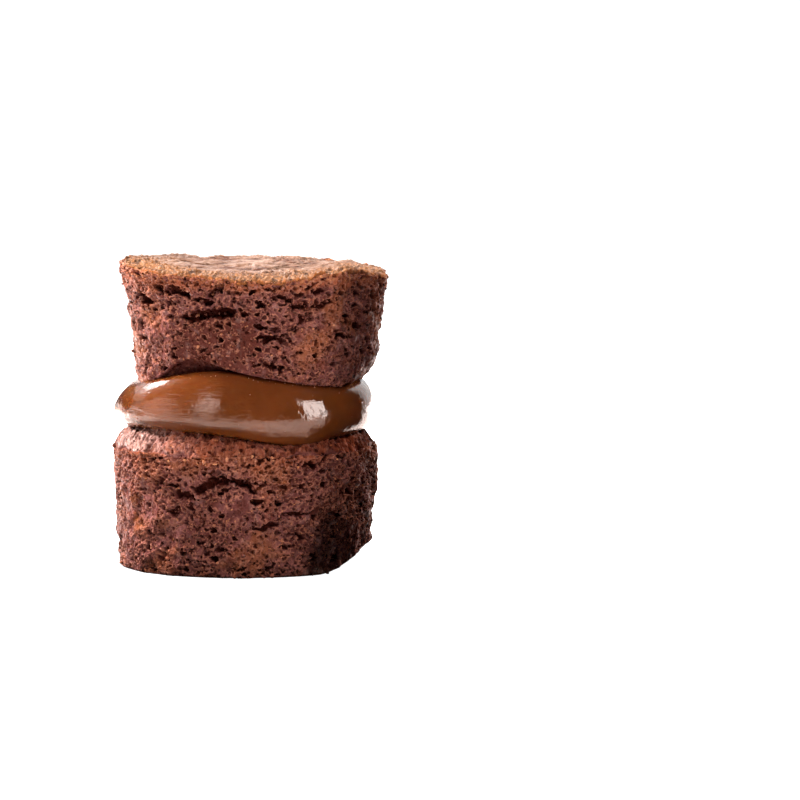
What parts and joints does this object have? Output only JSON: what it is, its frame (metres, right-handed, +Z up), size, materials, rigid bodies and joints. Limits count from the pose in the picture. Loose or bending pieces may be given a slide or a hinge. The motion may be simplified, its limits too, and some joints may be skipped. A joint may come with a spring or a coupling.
{
  "type": "alfajor cookie",
  "caption": "Round alfajor in the brownie style: a lower and an upper chocolate cake round with a glossy band of soft caramel squeezed between them.",
  "frame": {"origin": "on the flat face of the lower round that it rests on, near the middle of the whole", "axes": "+Z up through the stack, -Y towards the front, where the caramel sags over the lower round, +X to the right of that front"},
  "size_m": [0.0518, 0.0503, 0.0571],
  "materials": {
    "brownie": "matt, open chocolate crumb with a thin flaky crust on top",
    "caramel": "glossy, slightly translucent soft caramel"
  },
  "bodies": {
    "root": {"brownie_lower": "brownie", "caramel_filling": "caramel", "brownie_upper": "brownie"}
  },
  "joints": []
}
